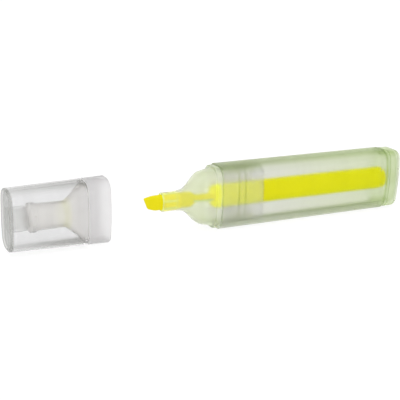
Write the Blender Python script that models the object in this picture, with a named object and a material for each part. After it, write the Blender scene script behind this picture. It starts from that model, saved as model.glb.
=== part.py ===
"""Flat chisel-tip highlighter with its cap pulled straight off.

The pen lies along X, with the cap and the nib towards -X. It stands on its narrow side, so Z is the
wide direction and Y the thin one. Every hull is a loft of outlines that share one rule: a rounded
rectangle with crowned wide faces, which can fade into an ellipse. The frame's origin is under the
middle of the pulled-apart pen, on the surface it stands on.
"""
from math import cos, radians, sin

import bmesh
import bpy
from mathutils import Vector

# Driving dimensions, in metres.
HALF_WIDTH = 0.0130
HALF_DEPTH = 0.0070
CORNER_RADIUS = 0.0040
CROWN = 0.0012
GAP = 0.0003
EDGE = 0.0003

BARREL_LENGTH = 0.0800
BARREL_WALL = 0.0009

PLUG_STEP = 0.0005
PLUG_CORNER_RADIUS = 0.0030
PLUG_NECK_STEP = 0.0003
PLUG_NECK_LENGTH = 0.0013
PLUG_STRAIGHT = 0.0052
PLUG_DOME = 0.0033
PLUG_SKIRT = 0.0025
PLUG_WALL = 0.0011
PLUG_CROWN = 0.0009
PLUG_CROWN_RADIUS = 0.0015
PLUG_FILLET = 0.0012
SKIRT_WALL = 0.0006
STOP_RADIUS = 0.0036
STOP_WALL = 0.0007

COLLAR_LENGTH = 0.0022
COLLAR_STEP = 0.0005
SHOULDER_STEP = 0.0010
FLARE_START = 0.0185
FLARE_SWELL_START = 0.2
FLARE_SWELL_SPAN = 0.5
FLARE_SWELL_SHARE = 0.6
FLARE_RISE_POWER = 1.15
FLARE_DEPTH_POWER = 1.25
NOSE_WALL = 0.0009
SOCKET_TAPER = 0.0005
SLEEVE_LENGTH = 0.0190
SLEEVE_WALL = 0.0005
RIDGE_PLACES = (0.0079, 0.0108)
RIDGE_HALF = 0.0003
RIDGE_HEIGHT = 0.00015
NOZZLE_RADIUS = 0.0037
NOZZLE_LIP = 0.0004
NOZZLE_TIP = 0.0238
BORE_END = 0.0179
RIB_FRONT = 0.0112
RIB_BACK = 0.0018
RIB_HALF_THICKNESS = 0.0004
RIB_HEIGHT = 0.0006

NIB_HALF_WIDTH = 0.0030
NIB_HALF_DEPTH = 0.0021
NIB_ROUNDNESS = 0.6
NIB_TIP = 0.0300
NIB_SHOULDER = 0.0112
NIB_SHOULDER_LENGTH = 0.0022
NIB_TAIL_RADIUS = 0.0015
NIB_TAIL_END = 0.0050
NIB_TAIL_CHAMFER = 0.0005
CHISEL_LENGTH = 0.0044
CHISEL_HALF_WIDTH = 0.0022
CHISEL_HALF_THICKNESS = 0.0008
CHISEL_SLANT = 0.40
CHISEL_ROUNDNESS = -0.25

RESERVOIR_RADIUS = 0.00455
RESERVOIR_FRONT = 0.0012
RESERVOIR_PAST_BARREL = 0.0011
RESERVOIR_BORE_DEPTH = 0.0080
FILM_THICKNESS = 0.00015
FILM_GAP = 0.00020
FILM_MARGIN = 0.0009

CAP_LENGTH = 0.0378
CAP_PULLED_OFF = 0.0465
CAP_MOUTH_HALF_WIDTH = 0.0125
CAP_MOUTH_HALF_DEPTH = 0.0069
CAP_END_HALF_WIDTH = 0.0114
CAP_END_HALF_DEPTH = 0.0067
CAP_WALL = 0.0009
CAP_END_WALL = 0.0015
CAP_END_EDGE = 0.0007
CAP_FILLET = 0.0004
CAP_BAND = 0.0087
BOSS_RADIUS = 0.0046
BOSS_WALL = 0.0013
BOSS_LENGTH = 0.0056
GATE_RADIUS = 0.0008
GATE_DEPTH = 0.0002
GATE_TAPER = 0.0001

LINER_WALL = 0.0007
LINER_TUBE_RADIUS = 0.0049
LINER_CONE_END = 0.0160
LINER_DEPTH = 0.0297
LINER_STEP = 0.0009
LINER_CONE_POWER = 0.85
BAND_STEP = 0.0005
FLANGE_RADIUS = 0.0055
FLANGE_LENGTH = 0.0021
FLANGE_SETBACK = 0.0004
FLANGE_TAPER = 0.0002
NOTCH_LENGTH = 0.0009
NOTCH_DEPTH = 0.0005
NOTCH_HALF_HEIGHT = 0.0018

# Outline resolution: steps round a corner, across a wide face and across a narrow face.
CORNER_STEPS = 5
FACE_STEPS = 6
SIDE_STEPS = 3
FLARE_STEPS = 14
CONE_STEPS = 6
DOME_STEPS = 5
CHISEL_STEPS = 5
SHARP_ANGLE = radians(35)

# Places along X.
PEN_LENGTH = BARREL_LENGTH + PLUG_STRAIGHT + PLUG_DOME
SPREAD_LENGTH = CAP_LENGTH + CAP_PULLED_OFF + PEN_LENGTH
CAP_END_X = -SPREAD_LENGTH / 2
CAP_MOUTH_X = CAP_END_X + CAP_LENGTH
RIM_X = CAP_MOUTH_X + CAP_PULLED_OFF
BARREL_REAR_X = RIM_X + BARREL_LENGTH
AXIS_HEIGHT = HALF_WIDTH


def clear_scene():
    for old in list(bpy.data.objects):
        bpy.data.objects.remove(old, do_unlink=True)


def material(name, colour, roughness, transmission=0.0):
    """A Principled material with one colour."""
    made = bpy.data.materials.new(name)
    made.use_nodes = True
    shader = made.node_tree.nodes["Principled BSDF"]
    shader.inputs["Base Color"].default_value = (*colour, 1.0)
    shader.inputs["Roughness"].default_value = roughness
    shader.inputs["Metallic"].default_value = 0.0
    shader.inputs["Transmission Weight"].default_value = transmission
    return made


def base_outline(corner_radius):
    """A barrel-sized outline, as (y, z) shares of the barrel's half depth and half width."""
    flat_depth = HALF_DEPTH - CROWN
    centre_y = flat_depth - corner_radius
    centre_z = HALF_WIDTH - corner_radius
    quarters = ((1, 1), (-1, 1), (-1, -1), (1, -1))
    points = []
    for quarter, (side_y, side_z) in enumerate(quarters):
        for step in range(CORNER_STEPS + 1):
            angle = radians(90 * quarter + 90 * step / CORNER_STEPS)
            y = side_y * centre_y + corner_radius * cos(angle)
            z = side_z * centre_z + corner_radius * sin(angle)
            points.append((y, z))
        next_y, next_z = quarters[(quarter + 1) % 4]
        start = points[-1]
        angle = radians(90 * (quarter + 1))
        end_y = next_y * centre_y + corner_radius * cos(angle)
        end_z = next_z * centre_z + corner_radius * sin(angle)
        steps = SIDE_STEPS if quarter % 2 == 0 else FACE_STEPS
        for step in range(1, steps):
            share = step / steps
            y = start[0] + (end_y - start[0]) * share
            z = start[1] + (end_z - start[1]) * share
            points.append((y, z))
    shares = []
    for y, z in points:
        bulge = CROWN * (1 - (z / HALF_WIDTH) ** 2) * y / flat_depth
        shares.append(((y + bulge) / HALF_DEPTH, z / HALF_WIDTH))
    return shares


BASE = base_outline(CORNER_RADIUS)
PLUG_BASE = base_outline(PLUG_CORNER_RADIUS)


def ring(x, half_width, half_depth, roundness=0.0, slant=0.0, base=BASE):
    """One outline across the pen at x. Roundness 1 makes it an ellipse; slant leans its top forward."""
    points = []
    for share_y, share_z in base:
        length = (share_y**2 + share_z**2) ** 0.5
        y = share_y + (share_y / length - share_y) * roundness
        z = share_z + (share_z / length - share_z) * roundness
        lean = slant * half_width * z
        points.append((x - lean, y * half_depth, AXIS_HEIGHT + z * half_width))
    return points


def circle(x, radius):
    return ring(x, radius, radius, 1.0)


def loft(name, rings, look, looped=False):
    """A closed solid through the rings: a looped tube, or a chain with both ends filled."""
    mesh = bmesh.new()
    rows = [[mesh.verts.new(point) for point in points] for points in rings]
    count = len(BASE)
    pairs = list(zip(rows, rows[1:]))
    if looped:
        pairs.append((rows[-1], rows[0]))
    for first, second in pairs:
        for here in range(count):
            there = (here + 1) % count
            mesh.faces.new((first[here], first[there], second[there], second[here]))
    if not looped:
        mesh.faces.new(rows[0])
        mesh.faces.new(rows[-1])
    bmesh.ops.recalc_face_normals(mesh, faces=mesh.faces)
    data = bpy.data.meshes.new(name)
    mesh.to_mesh(data)
    mesh.free()
    data.shade_smooth()
    data.set_sharp_from_angle(angle=SHARP_ANGLE)
    data.materials.append(look)
    made = bpy.data.objects.new(name, data)
    bpy.context.scene.collection.objects.link(made)
    return made


def box(name, low, high):
    """A plain block from its low corner to its high corner, used only to add to or cut other solids."""
    mesh = bmesh.new()
    corners = []
    for x in (low[0], high[0]):
        for y in (low[1], high[1]):
            for z in (low[2], high[2]):
                corners.append(mesh.verts.new((x, y, z)))
    bmesh.ops.convex_hull(mesh, input=corners)
    bmesh.ops.recalc_face_normals(mesh, faces=mesh.faces)
    data = bpy.data.meshes.new(name)
    mesh.to_mesh(data)
    mesh.free()
    made = bpy.data.objects.new(name, data)
    bpy.context.scene.collection.objects.link(made)
    made.hide_render = True
    made.display_type = "WIRE"
    return made


def combine(target, tool, operation):
    """Adds a Boolean of the tool to the target."""
    change = target.modifiers.new(tool.name, "BOOLEAN")
    change.operation = operation
    change.solver = "EXACT"
    change.object = tool


def smooth_step(share):
    """0 to 1 with level ends."""
    share = min(max(share, 0.0), 1.0)
    return share * share * (3 - 2 * share)


def build_barrel(look):
    inner_width = HALF_WIDTH - BARREL_WALL
    inner_depth = HALF_DEPTH - BARREL_WALL
    front = RIM_X
    rear = BARREL_REAR_X
    rings = [
        ring(front, HALF_WIDTH - EDGE, HALF_DEPTH - EDGE),
        ring(front + EDGE, HALF_WIDTH, HALF_DEPTH),
        ring(rear - EDGE, HALF_WIDTH, HALF_DEPTH),
        ring(rear, HALF_WIDTH - EDGE, HALF_DEPTH - EDGE),
        ring(rear, inner_width, inner_depth),
        ring(front, inner_width, inner_depth),
    ]
    return loft("barrel", rings, look, looped=True)


def plug_ring(x, inset):
    """The plug's outside, a little squarer than the barrel, set in by the inset."""
    width = HALF_WIDTH - PLUG_STEP - inset
    depth = HALF_DEPTH - PLUG_STEP - inset
    return ring(x, width, depth, base=PLUG_BASE)


def build_rear_plug(look):
    """End cap with a neck, a skirt inside the barrel and a short tube that stops the ink reservoir."""
    start = BARREL_REAR_X + GAP
    neck_end = start + PLUG_NECK_LENGTH
    straight_end = BARREL_REAR_X + PLUG_STRAIGHT
    end = straight_end + PLUG_DOME
    edge_radius = PLUG_DOME - PLUG_CROWN
    floor = straight_end + edge_radius - PLUG_WALL
    skirt_width = HALF_WIDTH - BARREL_WALL - GAP
    skirt_depth = HALF_DEPTH - BARREL_WALL - GAP
    skirt_front = BARREL_REAR_X - PLUG_SKIRT
    stop_front = BARREL_REAR_X + RESERVOIR_PAST_BARREL + GAP
    hollow_width = skirt_width - SKIRT_WALL
    hollow_depth = skirt_depth - SKIRT_WALL
    rings = [circle(end, PLUG_CROWN_RADIUS)]
    for step in range(DOME_STEPS + 1):
        angle = radians(90 - 90 * step / DOME_STEPS)
        x = straight_end + edge_radius * sin(angle)
        rings.append(plug_ring(x, edge_radius * (1 - cos(angle))))
    rings += [
        plug_ring(neck_end, 0.0),
        plug_ring(neck_end - EDGE, PLUG_NECK_STEP),
        plug_ring(start, PLUG_NECK_STEP),
        ring(start, skirt_width, skirt_depth),
        ring(skirt_front + EDGE, skirt_width, skirt_depth),
        ring(skirt_front, skirt_width - EDGE, skirt_depth - EDGE),
        ring(skirt_front, hollow_width, hollow_depth),
        ring(floor - PLUG_FILLET, hollow_width, hollow_depth),
        ring(floor, hollow_width - PLUG_FILLET, hollow_depth - PLUG_FILLET),
        circle(floor, STOP_RADIUS),
        circle(stop_front, STOP_RADIUS),
        circle(stop_front, STOP_RADIUS - STOP_WALL),
        circle(floor, STOP_RADIUS - STOP_WALL),
    ]
    return loft("rear_plug", rings, look)


def nose_profile():
    """Half width, half depth and roundness at stations from the nozzle's back to the shoulder.

    A steady flare carries a steeper swell in its middle, so the curve leaves the nozzle slowly and
    eases into the shoulder. Distances run forward from the barrel's rim.
    """
    shoulder_width = HALF_WIDTH - COLLAR_STEP - SHOULDER_STEP
    shoulder_depth = HALF_DEPTH - COLLAR_STEP - SHOULDER_STEP
    stations = []
    for step in range(FLARE_STEPS + 1):
        share = step / FLARE_STEPS
        swell = smooth_step((share - FLARE_SWELL_START) / FLARE_SWELL_SPAN)
        steady = share**FLARE_RISE_POWER
        rise = steady + (swell - steady) * FLARE_SWELL_SHARE
        width = NOZZLE_RADIUS + (shoulder_width - NOZZLE_RADIUS) * rise
        depth = NOZZLE_RADIUS + (shoulder_depth - NOZZLE_RADIUS) * rise**FLARE_DEPTH_POWER
        distance = FLARE_START + (COLLAR_LENGTH - FLARE_START) * share
        stations.append((distance, width, depth, 1 - smooth_step(rise)))
    return stations


def build_front_section(look):
    """Nozzle, flared shoulder, collar and the sleeve that plugs into the barrel."""
    stations = nose_profile()
    collar_width = HALF_WIDTH - COLLAR_STEP
    collar_depth = HALF_DEPTH - COLLAR_STEP
    sleeve_width = HALF_WIDTH - BARREL_WALL - GAP - RIDGE_HEIGHT
    sleeve_depth = HALF_DEPTH - BARREL_WALL - GAP - RIDGE_HEIGHT
    bore_width = NIB_HALF_WIDTH + GAP
    bore_depth = NIB_HALF_DEPTH + GAP
    tip = RIM_X - NOZZLE_TIP
    rings = [
        circle(tip, NOZZLE_RADIUS - NOZZLE_LIP),
        circle(tip + NOZZLE_LIP, NOZZLE_RADIUS),
    ]
    for distance, width, depth, roundness in stations:
        rings.append(ring(RIM_X - distance, width, depth, roundness))
    rings += [
        ring(RIM_X - COLLAR_LENGTH, collar_width - EDGE, collar_depth - EDGE),
        ring(RIM_X - COLLAR_LENGTH + EDGE, collar_width, collar_depth),
        ring(RIM_X - GAP, collar_width, collar_depth),
        ring(RIM_X - GAP, sleeve_width, sleeve_depth),
    ]
    for place in RIDGE_PLACES:
        ridge_width = sleeve_width + RIDGE_HEIGHT
        ridge_depth = sleeve_depth + RIDGE_HEIGHT
        rings += [
            ring(RIM_X + place - RIDGE_HALF, sleeve_width, sleeve_depth),
            ring(RIM_X + place, ridge_width, ridge_depth),
            ring(RIM_X + place + RIDGE_HALF, sleeve_width, sleeve_depth),
        ]
    inner_width = sleeve_width - SLEEVE_WALL
    inner_depth = sleeve_depth - SLEEVE_WALL
    rings += [
        ring(RIM_X + SLEEVE_LENGTH, sleeve_width, sleeve_depth),
        ring(RIM_X + SLEEVE_LENGTH, inner_width, inner_depth),
        ring(RIM_X - COLLAR_LENGTH, inner_width - SOCKET_TAPER, inner_depth - SOCKET_TAPER / 2),
    ]
    for distance, width, depth, roundness in reversed(stations[3:-1]):
        rings.append(ring(RIM_X - distance, width - NOSE_WALL, depth - NOSE_WALL, roundness))
    rings += [
        ring(RIM_X - BORE_END, bore_width, bore_depth, NIB_ROUNDNESS),
        ring(tip, bore_width, bore_depth, NIB_ROUNDNESS),
    ]
    made = loft("front_section", rings, look, looped=True)
    for side, name in ((-1, "rib_near"), (1, "rib_far")):
        combine(made, rib(name, side, stations), "UNION")
    return made


def rib(name, side, stations):
    """A low rib along the inside of one wide wall, from the flare back to the collar."""
    depths = [(distance, depth - NOSE_WALL) for distance, width, depth, roundness in stations]
    inside = [pair for pair in depths if RIB_BACK <= pair[0] <= RIB_FRONT]
    mesh = bmesh.new()
    rows = []
    for distance, depth in inside:
        x = RIM_X - distance
        row = []
        for y in (depth - RIB_HEIGHT, depth + NOSE_WALL / 2):
            for z in (-RIB_HALF_THICKNESS, RIB_HALF_THICKNESS):
                row.append(mesh.verts.new((x, side * y, AXIS_HEIGHT + z)))
        rows.append([row[0], row[1], row[3], row[2]])
    for first, second in zip(rows, rows[1:]):
        for here in range(4):
            there = (here + 1) % 4
            mesh.faces.new((first[here], first[there], second[there], second[here]))
    mesh.faces.new(rows[0])
    mesh.faces.new(rows[-1])
    bmesh.ops.recalc_face_normals(mesh, faces=mesh.faces)
    data = bpy.data.meshes.new(name)
    mesh.to_mesh(data)
    mesh.free()
    made = bpy.data.objects.new(name, data)
    bpy.context.scene.collection.objects.link(made)
    made.hide_render = True
    made.display_type = "WIRE"
    return made


def build_nib(look):
    """Slanted chisel tip that swells into the body in the nozzle's bore, and a thin tail behind it."""
    tip = RIM_X - NIB_TIP
    shoulder = RIM_X - NIB_SHOULDER
    tail_end = RIM_X + NIB_TAIL_END
    end_width = CHISEL_HALF_WIDTH - EDGE
    end_depth = CHISEL_HALF_THICKNESS - EDGE
    rings = [ring(tip, end_width, end_depth, CHISEL_ROUNDNESS, CHISEL_SLANT)]
    for step in range(CHISEL_STEPS + 1):
        share = step / CHISEL_STEPS
        swell = sin(radians(90 * share))
        width = CHISEL_HALF_WIDTH + (NIB_HALF_WIDTH - CHISEL_HALF_WIDTH) * swell
        depth = CHISEL_HALF_THICKNESS + (NIB_HALF_DEPTH - CHISEL_HALF_THICKNESS) * share
        roundness = CHISEL_ROUNDNESS + (NIB_ROUNDNESS - CHISEL_ROUNDNESS) * share
        x = tip + EDGE + (CHISEL_LENGTH - EDGE) * share
        rings.append(ring(x, width, depth, roundness, CHISEL_SLANT * (1 - share)))
    rings += [
        ring(shoulder, NIB_HALF_WIDTH, NIB_HALF_DEPTH, NIB_ROUNDNESS),
        circle(shoulder + NIB_SHOULDER_LENGTH, NIB_TAIL_RADIUS),
        circle(tail_end - NIB_TAIL_CHAMFER, NIB_TAIL_RADIUS),
        circle(tail_end, NIB_TAIL_RADIUS - NIB_TAIL_CHAMFER),
    ]
    return loft("nib", rings, look)


def build_reservoir(look):
    front = RIM_X - RESERVOIR_FRONT
    rear = BARREL_REAR_X + RESERVOIR_PAST_BARREL
    bore = NIB_TAIL_RADIUS + GAP
    floor = front + RESERVOIR_BORE_DEPTH
    rings = [
        circle(floor, bore),
        circle(front, bore),
        circle(front, RESERVOIR_RADIUS - EDGE),
        circle(front + EDGE, RESERVOIR_RADIUS),
        circle(rear - EDGE, RESERVOIR_RADIUS),
        circle(rear, RESERVOIR_RADIUS - EDGE),
    ]
    return loft("ink_reservoir", rings, look)


def build_film(look):
    """The thin film wrapped round the reservoir, a little shorter than it."""
    front = RIM_X - RESERVOIR_FRONT + FILM_MARGIN
    rear = BARREL_REAR_X + RESERVOIR_PAST_BARREL - FILM_MARGIN
    inner = RESERVOIR_RADIUS + FILM_GAP
    outer = inner + FILM_THICKNESS
    rings = [
        circle(front, outer),
        circle(rear, outer),
        circle(rear, inner),
        circle(front, inner),
    ]
    return loft("reservoir_film", rings, look, looped=True)


def cap_size(depth_in):
    """Half width and half depth of the cap's outside at a distance in from its mouth."""
    share = depth_in / CAP_LENGTH
    width = CAP_MOUTH_HALF_WIDTH + (CAP_END_HALF_WIDTH - CAP_MOUTH_HALF_WIDTH) * share
    depth = CAP_MOUTH_HALF_DEPTH + (CAP_END_HALF_DEPTH - CAP_MOUTH_HALF_DEPTH) * share
    return width, depth


def cap_ring(depth_in, inset):
    width, depth = cap_size(depth_in)
    return ring(CAP_MOUTH_X - depth_in, width - inset, depth - inset)


def build_cap_shell(look):
    """Clear outer shell, closed at its end, with the boss that holds the liner's end."""
    floor_in = CAP_LENGTH - CAP_END_WALL
    floor_x = CAP_MOUTH_X - floor_in
    boss_front = floor_x + BOSS_LENGTH
    front_in = CAP_BAND
    rings = [
        circle(floor_x, BOSS_RADIUS - BOSS_WALL),
        circle(boss_front, BOSS_RADIUS - BOSS_WALL),
        circle(boss_front, BOSS_RADIUS),
        circle(floor_x, BOSS_RADIUS),
        cap_ring(floor_in, CAP_WALL + CAP_FILLET),
        cap_ring(floor_in - CAP_FILLET, CAP_WALL),
        cap_ring(front_in, CAP_WALL),
        cap_ring(front_in, EDGE / 2),
        cap_ring(front_in + EDGE / 2, 0.0),
        cap_ring(CAP_LENGTH - CAP_END_EDGE, 0.0),
        cap_ring(CAP_LENGTH - CAP_END_EDGE * (1 - sin(radians(45))), CAP_END_EDGE * (1 - cos(radians(45)))),
        cap_ring(CAP_LENGTH, CAP_END_EDGE),
        circle(CAP_END_X, GATE_RADIUS),
        circle(CAP_END_X + GATE_DEPTH, GATE_RADIUS - GATE_TAPER),
    ]
    return loft("cap_shell", rings, look)


def build_cap_liner(look):
    """Frosted mouth band, the cone inside the shell and the tube that closes round the nib."""
    band_back = CAP_BAND - GAP
    spigot_inset = CAP_WALL + GAP
    spigot_width, spigot_depth = cap_size(CAP_BAND)
    spigot_width -= spigot_inset
    spigot_depth -= spigot_inset
    cone_start = CAP_BAND + LINER_STEP
    inner_radius = LINER_TUBE_RADIUS - LINER_WALL
    flange_end = LINER_DEPTH - FLANGE_SETBACK
    flange_start = flange_end - FLANGE_LENGTH
    outer = []
    inner = []
    for step in range(1, CONE_STEPS + 1):
        share = step / CONE_STEPS
        ease = 1 - share**LINER_CONE_POWER
        width = LINER_TUBE_RADIUS + (spigot_width - LINER_TUBE_RADIUS) * ease
        depth = LINER_TUBE_RADIUS + (spigot_depth - LINER_TUBE_RADIUS) * ease
        x = CAP_MOUTH_X - cone_start - (LINER_CONE_END - cone_start) * share
        roundness = smooth_step(share)
        outer.append(ring(x, width, depth, roundness))
        inner.append(ring(x, width - LINER_WALL, depth - LINER_WALL, roundness))
    cone_x = CAP_MOUTH_X - cone_start
    rings = [
        circle(CAP_MOUTH_X - LINER_DEPTH - LINER_WALL, BOSS_RADIUS - EDGE),
        circle(CAP_MOUTH_X - flange_end - LINER_WALL, BOSS_RADIUS),
        circle(CAP_MOUTH_X - flange_end, FLANGE_RADIUS),
        circle(CAP_MOUTH_X - flange_start, FLANGE_RADIUS),
        circle(CAP_MOUTH_X - flange_start + FLANGE_TAPER, LINER_TUBE_RADIUS),
    ]
    rings += reversed(outer)
    rings += [
        ring(cone_x, spigot_width, spigot_depth),
        ring(CAP_MOUTH_X - band_back, spigot_width, spigot_depth),
        cap_ring(band_back, EDGE / 2),
        cap_ring(band_back - EDGE / 2, 0.0),
        cap_ring(EDGE, 0.0),
        cap_ring(0.0, EDGE),
        cap_ring(0.0, LINER_WALL),
        cap_ring(band_back - BAND_STEP, LINER_WALL),
        ring(cone_x, spigot_width - LINER_WALL, spigot_depth - LINER_WALL),
    ]
    rings += inner
    rings.append(circle(CAP_MOUTH_X - LINER_DEPTH, inner_radius))
    made = loft("cap_liner", rings, look)
    notch_x = CAP_MOUTH_X - (flange_start + flange_end) / 2
    half_size = Vector((NOTCH_LENGTH / 2, NOTCH_DEPTH, NOTCH_HALF_HEIGHT))
    for side, name in ((-1, "notch_near"), (1, "notch_far")):
        middle = Vector((notch_x, side * FLANGE_RADIUS, AXIS_HEIGHT))
        combine(made, box(name, middle - half_size, middle + half_size), "DIFFERENCE")
    return made


def main():
    clear_scene()
    hazy = material("hazy_plastic", (0.72, 0.78, 0.62), 0.30, 0.8)
    clear = material("clear_plastic", (0.86, 0.87, 0.86), 0.10, 0.9)
    frosted = material("frosted_plastic", (0.85, 0.85, 0.87), 0.50, 0.6)
    ink = material("ink_fibre", (0.80, 0.80, 0.02), 0.80)
    felt = material("nib_felt", (0.92, 0.87, 0.0), 0.70)
    film = material("clear_film", (0.88, 0.90, 0.55), 0.20, 0.8)
    build_barrel(hazy)
    build_rear_plug(hazy)
    build_front_section(hazy)
    build_nib(felt)
    build_reservoir(ink)
    build_film(film)
    build_cap_shell(clear)
    build_cap_liner(frosted)


main()
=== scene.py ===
"""Looks for the flat chisel-tip highlighter: fine see-through shells, ink-soaked fibre, a pale floor.

Everything is in metres in the CAD's frame. The pen lies along X with its cap towards -X, Z is its wide
direction and Y its thin one. Places come from the boxes of the CAD nodes, and every hull is a loft of
one outline rule, as in the CAD but with finer steps, rounded edges and moulding detail.
"""
from math import atan2, cos, degrees, hypot, radians, sin

import bmesh
import bpy
from mathutils import Matrix, Vector


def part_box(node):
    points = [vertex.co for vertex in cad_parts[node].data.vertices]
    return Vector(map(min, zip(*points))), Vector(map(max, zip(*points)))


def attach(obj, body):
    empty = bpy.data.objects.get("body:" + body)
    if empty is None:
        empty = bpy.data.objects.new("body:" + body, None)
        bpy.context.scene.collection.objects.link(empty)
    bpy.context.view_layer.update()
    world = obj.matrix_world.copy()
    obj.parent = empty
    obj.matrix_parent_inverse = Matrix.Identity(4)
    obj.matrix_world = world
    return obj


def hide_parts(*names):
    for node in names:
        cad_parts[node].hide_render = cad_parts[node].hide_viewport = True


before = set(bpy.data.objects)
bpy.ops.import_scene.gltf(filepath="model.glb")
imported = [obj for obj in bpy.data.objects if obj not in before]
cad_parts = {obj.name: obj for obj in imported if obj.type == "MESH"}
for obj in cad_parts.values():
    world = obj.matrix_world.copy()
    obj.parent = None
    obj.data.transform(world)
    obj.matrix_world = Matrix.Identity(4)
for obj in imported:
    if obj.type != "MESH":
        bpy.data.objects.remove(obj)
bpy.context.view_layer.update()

# ---------------------------------------------------------------- sizes

BARREL_LOW, BARREL_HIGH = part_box("barrel")
RIM_X = BARREL_LOW.x
REAR_X = BARREL_HIGH.x
AXIS_Z = (BARREL_LOW.z + BARREL_HIGH.z) / 2
HALF_WIDTH = (BARREL_HIGH.z - BARREL_LOW.z) / 2
HALF_DEPTH = BARREL_HIGH.y
CORNER_RADIUS = 0.0040
CROWN = 0.0012
GAP = 0.0003

BARREL_WALL = 0.0009
BARREL_EDGE = 0.00028
INNER_EDGE = 0.00012
SMALL_EDGE = 0.0002
TOUCH = 0.00005

PLUG_LOW, PLUG_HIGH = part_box("rear_plug")
PLUG_INSET = 0.0005
PLUG_CORNER_RADIUS = 0.0030
PLUG_NECK_STEP = 0.0003
PLUG_NECK_LENGTH = 0.0013
PLUG_DOME = 0.0033
PLUG_CROWN = 0.0009
PLUG_CROWN_RADIUS = 0.0015
PLUG_FILLET = 0.0012
PLUG_WALL = 0.0011
SKIRT_WALL = 0.0006
STOP_RADIUS = 0.0036
STOP_WALL = 0.0007

NOSE_LOW, NOSE_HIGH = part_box("front_section")
COLLAR_LENGTH = 0.0022
COLLAR_STEP = 0.0005
SHOULDER_STEP = 0.0010
FLARE_START = 0.0185
FLARE_SWELL_START = 0.2
FLARE_SWELL_SPAN = 0.5
FLARE_SWELL_SHARE = 0.6
FLARE_RISE_POWER = 1.15
FLARE_DEPTH_POWER = 1.25
SOCKET_TAPER = 0.0005
NOSE_WALL = 0.0009
SLEEVE_WALL = 0.0005
RIDGE_PLACES = (0.0079, 0.0108)
RIDGE_HALF = 0.0003
RIDGE_HEIGHT = 0.00015
RIDGE_GROOVE = 0.0002
RIDGE_PROFILE = ((-1.0, 0.0), (-0.7, -RIDGE_GROOVE), (-0.3, RIDGE_HEIGHT), (0.3, RIDGE_HEIGHT), (1.0, 0.0))
NOZZLE_RADIUS = 0.0037
NOZZLE_LIP = 0.0004
BORE_END = 0.0179
RIB_FRONT = 0.0112
RIB_BACK = 0.0026
RIB_HALF_THICKNESS = 0.0003
RIB_HEIGHT = 0.0006
RIB_LOWEST_SHARE = 0.1
RIB_CREST_SHARE = 0.7
SPLINE_COUNT = 6
SPLINE_FIRST_ANGLE = 17
SPLINE_HALF_ANGLE = 8
SPLINE_STEPS = 4
SPLINE_THICKNESS = 0.00014
SPLINE_CLEARANCE = 0.00030
SPLINE_FRONT = 0.0230
NOZZLE_BORE_SWELL = 0.0002
LIP_RING = 0.0004

NIB_LOW, NIB_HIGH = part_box("nib")
NIB_HALF_WIDTH = (NIB_HIGH.z - NIB_LOW.z) / 2
NIB_HALF_DEPTH = NIB_HIGH.y
NIB_ROUNDNESS = 0.6
NIB_TIP = 0.0300
NIB_SHOULDER = 0.0112
NIB_SHOULDER_LENGTH = 0.0022
NIB_TAIL_RADIUS = 0.0015
CHISEL_LENGTH = 0.0044
CHISEL_HALF_WIDTH = 0.0022
CHISEL_HALF_THICKNESS = 0.0008
CHISEL_SLANT = 0.40
CHISEL_ROUNDNESS = -0.25
CHISEL_EDGE = 0.0003
FELT_SWELL = 0.0004

ROD_LOW, ROD_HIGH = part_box("ink_reservoir")
ROD_RADIUS = (ROD_HIGH.z - ROD_LOW.z) / 2
ROD_EDGE = 0.0008
STOP_FRONT = ROD_HIGH.x + GAP
ROD_BORE_DEPTH = 0.0080
FILM_LOW, FILM_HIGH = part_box("reservoir_film")
FILM_RADIUS = (FILM_HIGH.z - FILM_LOW.z) / 2
FILM_THICKNESS = 0.00015

SHELL_LOW, SHELL_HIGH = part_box("cap_shell")
CAP_MOUTH_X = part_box("cap_liner")[1].x
CAP_END_X = SHELL_LOW.x
CAP_LENGTH = CAP_MOUTH_X - CAP_END_X
CAP_BAND = CAP_MOUTH_X - SHELL_HIGH.x
CAP_MOUTH_HALF_WIDTH = 0.0125
CAP_MOUTH_HALF_DEPTH = 0.0069
CAP_END_HALF_WIDTH = 0.0114
CAP_END_HALF_DEPTH = 0.0067
CAP_WALL = 0.0009
CAP_END_WALL = 0.0015
CAP_END_EDGE = 0.0007
BOSS_RADIUS = 0.0046
BOSS_WALL = 0.0013
BOSS_LENGTH = 0.0056
GATE_RADIUS = 0.0008
GATE_DEPTH = 0.0002
GATE_TAPER = 0.0001
CAP_EDGE = 0.00015
CAP_FILLET = 0.0005
LINER_WALL = 0.0007
LINER_TUBE_RADIUS = 0.0049
LINER_CONE_END = 0.0160
LINER_DEPTH = 0.0297
LINER_STEP = 0.0009
LINER_CONE_POWER = 0.85
BAND_STEP = 0.0005
FLANGE_SETBACK = 0.0004
FLANGE_TAPER = 0.0002
FLANGE_RADIUS = 0.0055
FLANGE_LENGTH = 0.0021
NOTCH_LENGTH = 0.0009
NOTCH_DEPTH = 0.0005
NOTCH_HALF_HEIGHT = 0.0018

CORNER_STEPS = 12
FACE_STEPS = 14
SIDE_STEPS = 6
ARC_STEPS = 4
FLARE_STEPS = 44
CONE_STEPS = 24
DOME_STEPS = 12
CHISEL_STEPS = 16
SOLID_NOZZLE_STATIONS = 9
SOLID_SHOULDER_STATIONS = 2
SHARP_ANGLE = 40
FELT_SHARP_ANGLE = 30

# ---------------------------------------------------------------- shape tools


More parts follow.
